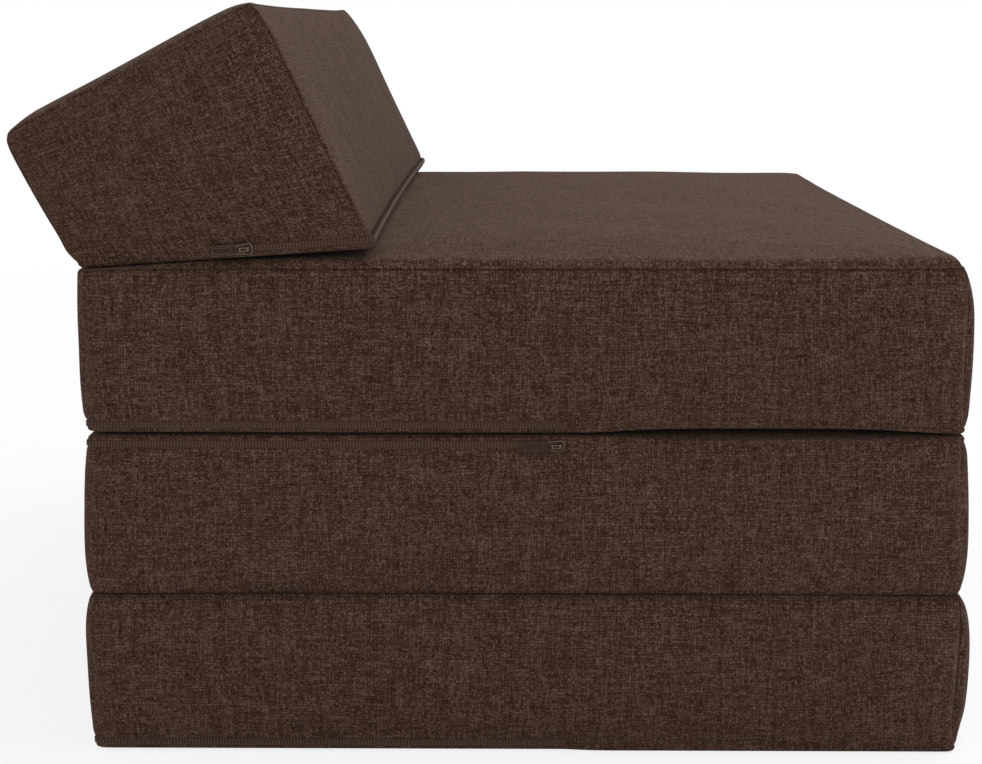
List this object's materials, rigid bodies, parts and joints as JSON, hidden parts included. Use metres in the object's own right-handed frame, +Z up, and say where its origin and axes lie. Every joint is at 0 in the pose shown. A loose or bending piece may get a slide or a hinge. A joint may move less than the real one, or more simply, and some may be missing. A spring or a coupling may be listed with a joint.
{
  "type": "folding sofa bed",
  "caption": "Fold-out foam sofa bed: stacked foam sections joined by fabric folds, with a hinged wedge headrest and zipped woven covers.",
  "frame": {"origin": "middle of the lowest section's underside, on the floor, with the bed folded", "axes": "+Z up; +X from the headrest's side to the open side of the seat; the front, as pictured, faces -Y"},
  "size_m": [0.6456, 0.8022, 0.5081],
  "materials": {
    "cover_fabric": "dark brown melange plain weave",
    "foam": "open-cell foam, hidden inside the cover",
    "zip_tape": "woven tape with a coil chain, tonal brown",
    "zip_slider": "brown lacquer"
  },
  "bodies": {
    "lower_section": {"lower_foam": "foam", "lower_floor_panel": "cover_fabric", "lower_sleeping_panel": "cover_fabric", "lower_front_strip": "cover_fabric", "lower_back_strip": "cover_fabric", "lower_left_end_strip": "cover_fabric", "lower_right_end_strip": "cover_fabric", "lower_zip": "zip_tape", "lower_fold_flange": "cover_fabric"},
    "middle_section": {"middle_foam": "foam", "middle_floor_panel": "cover_fabric", "middle_sleeping_panel": "cover_fabric", "middle_front_strip": "cover_fabric", "middle_back_strip": "cover_fabric", "middle_left_end_strip": "cover_fabric", "middle_right_end_strip": "cover_fabric", "middle_zip": "zip_tape", "middle_left_fold_flange": "cover_fabric", "middle_right_fold_flange": "cover_fabric"},
    "seat_section": {"seat_foam": "foam", "seat_floor_panel": "cover_fabric", "seat_sleeping_panel": "cover_fabric", "seat_front_strip": "cover_fabric", "seat_back_strip": "cover_fabric", "seat_left_end_strip": "cover_fabric", "seat_right_end_strip": "cover_fabric", "seat_zip": "zip_tape", "seat_right_fold_flange": "cover_fabric", "seat_left_fold_flange": "cover_fabric"},
    "headrest": {"headrest_foam": "foam", "headrest_floor_panel": "cover_fabric", "headrest_sleeping_panel": "cover_fabric", "headrest_front_strip": "cover_fabric", "headrest_back_strip": "cover_fabric", "headrest_thick_end_strip": "cover_fabric", "headrest_thin_end_strip": "cover_fabric", "headrest_zip": "zip_tape", "headrest_fold_flange": "cover_fabric"},
    "lower_zip_slider": {"lower_zip_slider": "zip_slider"},
    "lower_zip_pull": {"lower_zip_pull": "zip_slider"},
    "middle_zip_slider": {"middle_zip_slider": "zip_slider"},
    "middle_zip_pull": {"middle_zip_pull": "zip_slider"},
    "seat_zip_slider": {"seat_zip_slider": "zip_slider"},
    "seat_zip_pull": {"seat_zip_pull": "zip_slider"},
    "headrest_zip_slider": {"headrest_zip_slider": "zip_slider"},
    "headrest_zip_pull": {"headrest_zip_pull": "zip_slider"}
  },
  "joints": [
    {"name": "middle_fold", "type": "hinge", "parent": "lower_section", "child": "middle_section", "pos_m": [-0.3003, 0, 0.10985], "axis": [0, -1, 0], "range_deg": [0, 180]},
    {"name": "seat_fold", "type": "hinge", "parent": "middle_section", "child": "seat_section", "pos_m": [0.3003, 0, 0.21985], "axis": [0, 1, 0], "range_deg": [0, 180]},
    {"name": "headrest_fold", "type": "hinge", "parent": "seat_section", "child": "headrest", "pos_m": [-0.3003, 0, 0.3257], "axis": [0, -1, 0], "range_deg": [0, 152.5]},
    {"name": "lower_zip_slide", "type": "slide", "parent": "lower_section", "child": "lower_zip_slider", "axis": [-1, 0, 0], "range_m": [0, 0.29]},
    {"name": "middle_zip_slide", "type": "slide", "parent": "middle_section", "child": "middle_zip_slider", "axis": [-1, 0, 0], "range_m": [0, 0.29]},
    {"name": "seat_zip_slide", "type": "slide", "parent": "seat_section", "child": "seat_zip_slider", "axis": [-1, 0, 0], "range_m": [0, 0.29]},
    {"name": "headrest_zip_slide", "type": "slide", "parent": "headrest", "child": "headrest_zip_slider", "axis": [0.9976, 0, 0.0698], "range_m": [0, 0.062]},
    {"name": "lower_pull_turn", "type": "hinge", "parent": "lower_zip_slider", "child": "lower_zip_pull", "pos_m": [0.0205, 0.39904, 0.0065], "axis": [0, 0, -1], "range_deg": [0, 180]},
    {"name": "middle_pull_turn", "type": "hinge", "parent": "middle_zip_slider", "child": "middle_zip_pull", "pos_m": [0.0205, -0.39904, 0.2132], "axis": [0, 0, 1], "range_deg": [0, 180]},
    {"name": "seat_pull_turn", "type": "hinge", "parent": "seat_zip_slider", "child": "seat_zip_pull", "pos_m": [0.0205, 0.39904, 0.2265], "axis": [0, 0, -1], "range_deg": [0, 180]},
    {"name": "headrest_pull_turn", "type": "hinge", "parent": "headrest_zip_slider", "child": "headrest_zip_pull", "pos_m": [-0.18523, -0.39904, 0.34477], "axis": [-0.0698, 0, 0.9976], "range_deg": [0, 180]}
  ]
}
